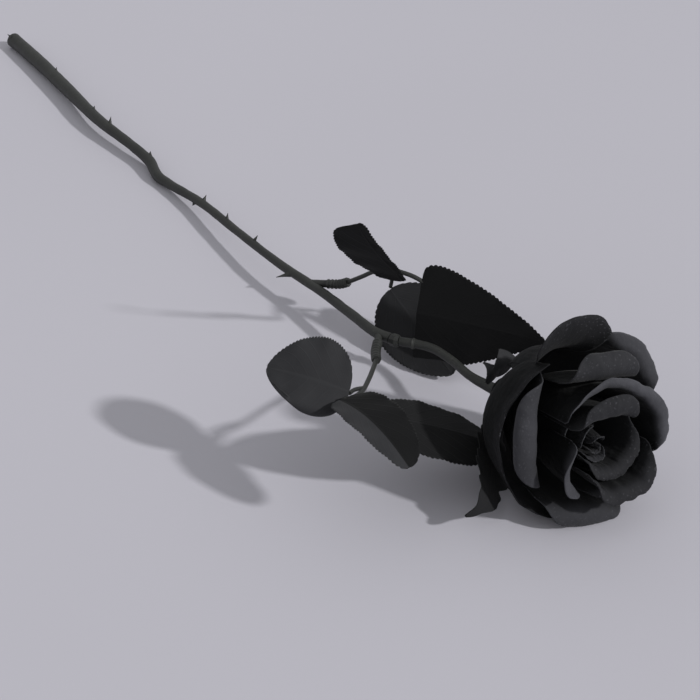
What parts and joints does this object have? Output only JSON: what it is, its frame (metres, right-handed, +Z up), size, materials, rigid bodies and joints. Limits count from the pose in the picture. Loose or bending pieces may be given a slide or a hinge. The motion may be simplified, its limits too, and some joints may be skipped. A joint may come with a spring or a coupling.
{
  "type": "artificial rose",
  "caption": "Single black artificial rose lying on its side: layered cloth petals, thorned plastic stem and two sprays of serrated leaves.",
  "frame": {"origin": "middle of the bounding box's bottom face, on the table the rose lies on", "axes": "+X along the stem from its cut end to the flower, +Z up from the table"},
  "size_m": [0.5208, 0.1314, 0.0803],
  "materials": {
    "stem_plastic": "matte dark olive-black moulded plastic",
    "petal_cloth": "matte black stiffened cloth",
    "leaf_cloth": "matte black stiffened cloth"
  },
  "bodies": {
    "root": {"main_stem": "stem_plastic", "joint_bead": "stem_plastic", "neck": "stem_plastic", "upper_leaf_stalk": "stem_plastic", "lower_leaf_stalk": "stem_plastic", "calyx": "leaf_cloth", "bud_core": "petal_cloth", "outer_petal_top": "petal_cloth", "outer_petal_right": "petal_cloth", "outer_petal_far": "petal_cloth", "outer_petal_bottom": "petal_cloth", "outer_petal_left": "petal_cloth", "second_petal_left": "petal_cloth", "second_petal_top": "petal_cloth", "second_petal_right": "petal_cloth", "second_petal_bottom": "petal_cloth", "third_petal_far": "petal_cloth", "third_petal_left": "petal_cloth", "inner_petal_top": "petal_cloth", "inner_petal_left": "petal_cloth", "inner_petal_far": "petal_cloth", "bud_petal_right": "petal_cloth", "bud_petal_left": "petal_cloth", "bud_petal_bottom": "petal_cloth", "bud_wrap_top": "petal_cloth", "bud_wrap_bottom": "petal_cloth", "bud_roll": "petal_cloth", "upper_leaflet_side": "leaf_cloth", "upper_leaflet_end": "leaf_cloth", "upper_leaflet_low": "leaf_cloth", "lower_leaflet_side": "leaf_cloth", "lower_leaflet_end": "leaf_cloth", "lower_leaflet_near": "leaf_cloth"}
  },
  "joints": []
}
